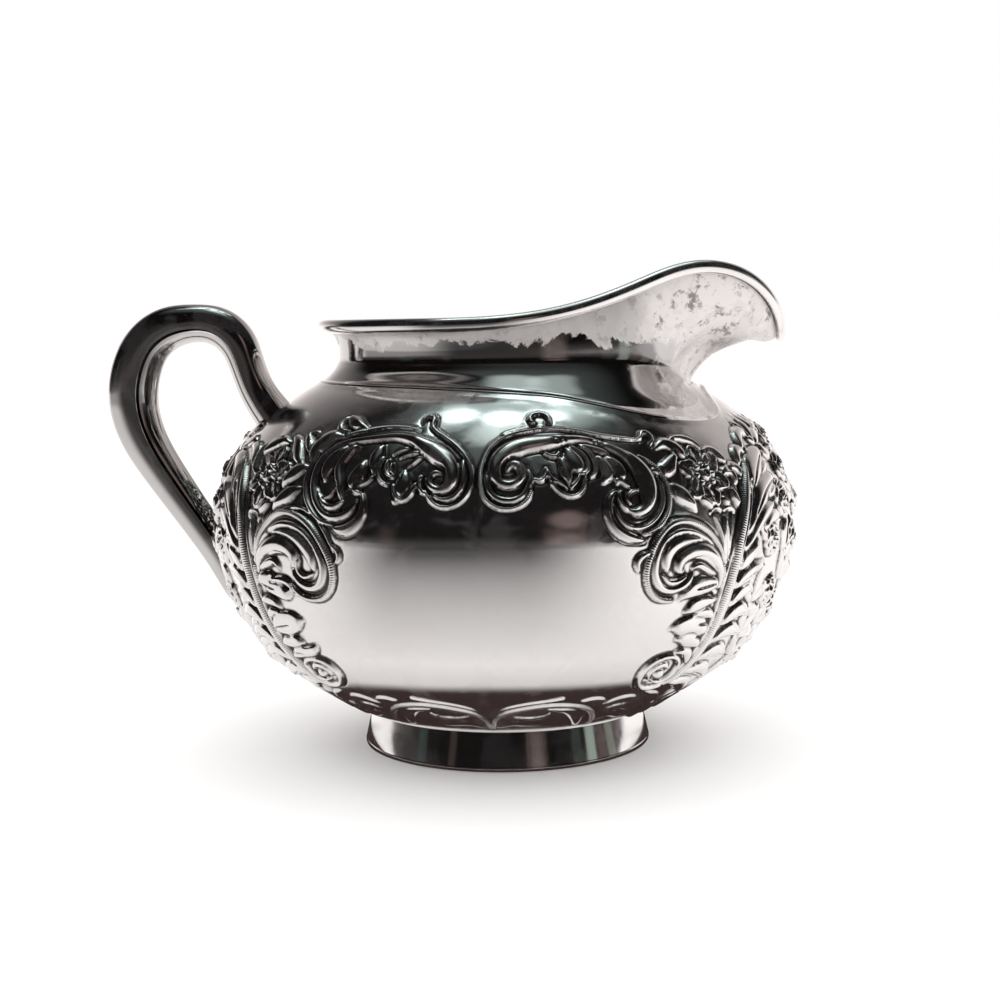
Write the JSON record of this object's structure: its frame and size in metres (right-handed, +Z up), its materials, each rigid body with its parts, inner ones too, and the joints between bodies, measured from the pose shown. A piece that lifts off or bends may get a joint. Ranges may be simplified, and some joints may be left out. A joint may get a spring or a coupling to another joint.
{
  "type": "cream jug",
  "caption": "Low round silver cream jug with chased scrolls, a broad raised spout, a hollow loop handle and a plain foot ring.",
  "frame": {"origin": "centre of the foot where it stands on the table; the bowl's axis is Z", "axes": "+X to the spout, -X to the handle, +Z up, mirror plane Y = 0"},
  "size_m": [0.1293, 0.1072, 0.0896],
  "materials": {
    "silver_bowl": "polished silver with dark oxidised recesses",
    "silver_neck": "polished silver with mottled tarnish",
    "silver_rim": "polished silver",
    "silver_foot": "polished silver, light tarnish",
    "silver_handle": "polished silver, darker tarnish in the groove"
  },
  "bodies": {
    "root": {"bowl": "silver_bowl", "neck_and_spout": "silver_neck", "rim_wire": "silver_rim", "foot_ring": "silver_foot", "foot_base_wire": "silver_foot", "handle_outer_shell": "silver_handle", "handle_inner_strip": "silver_handle"}
  },
  "joints": []
}
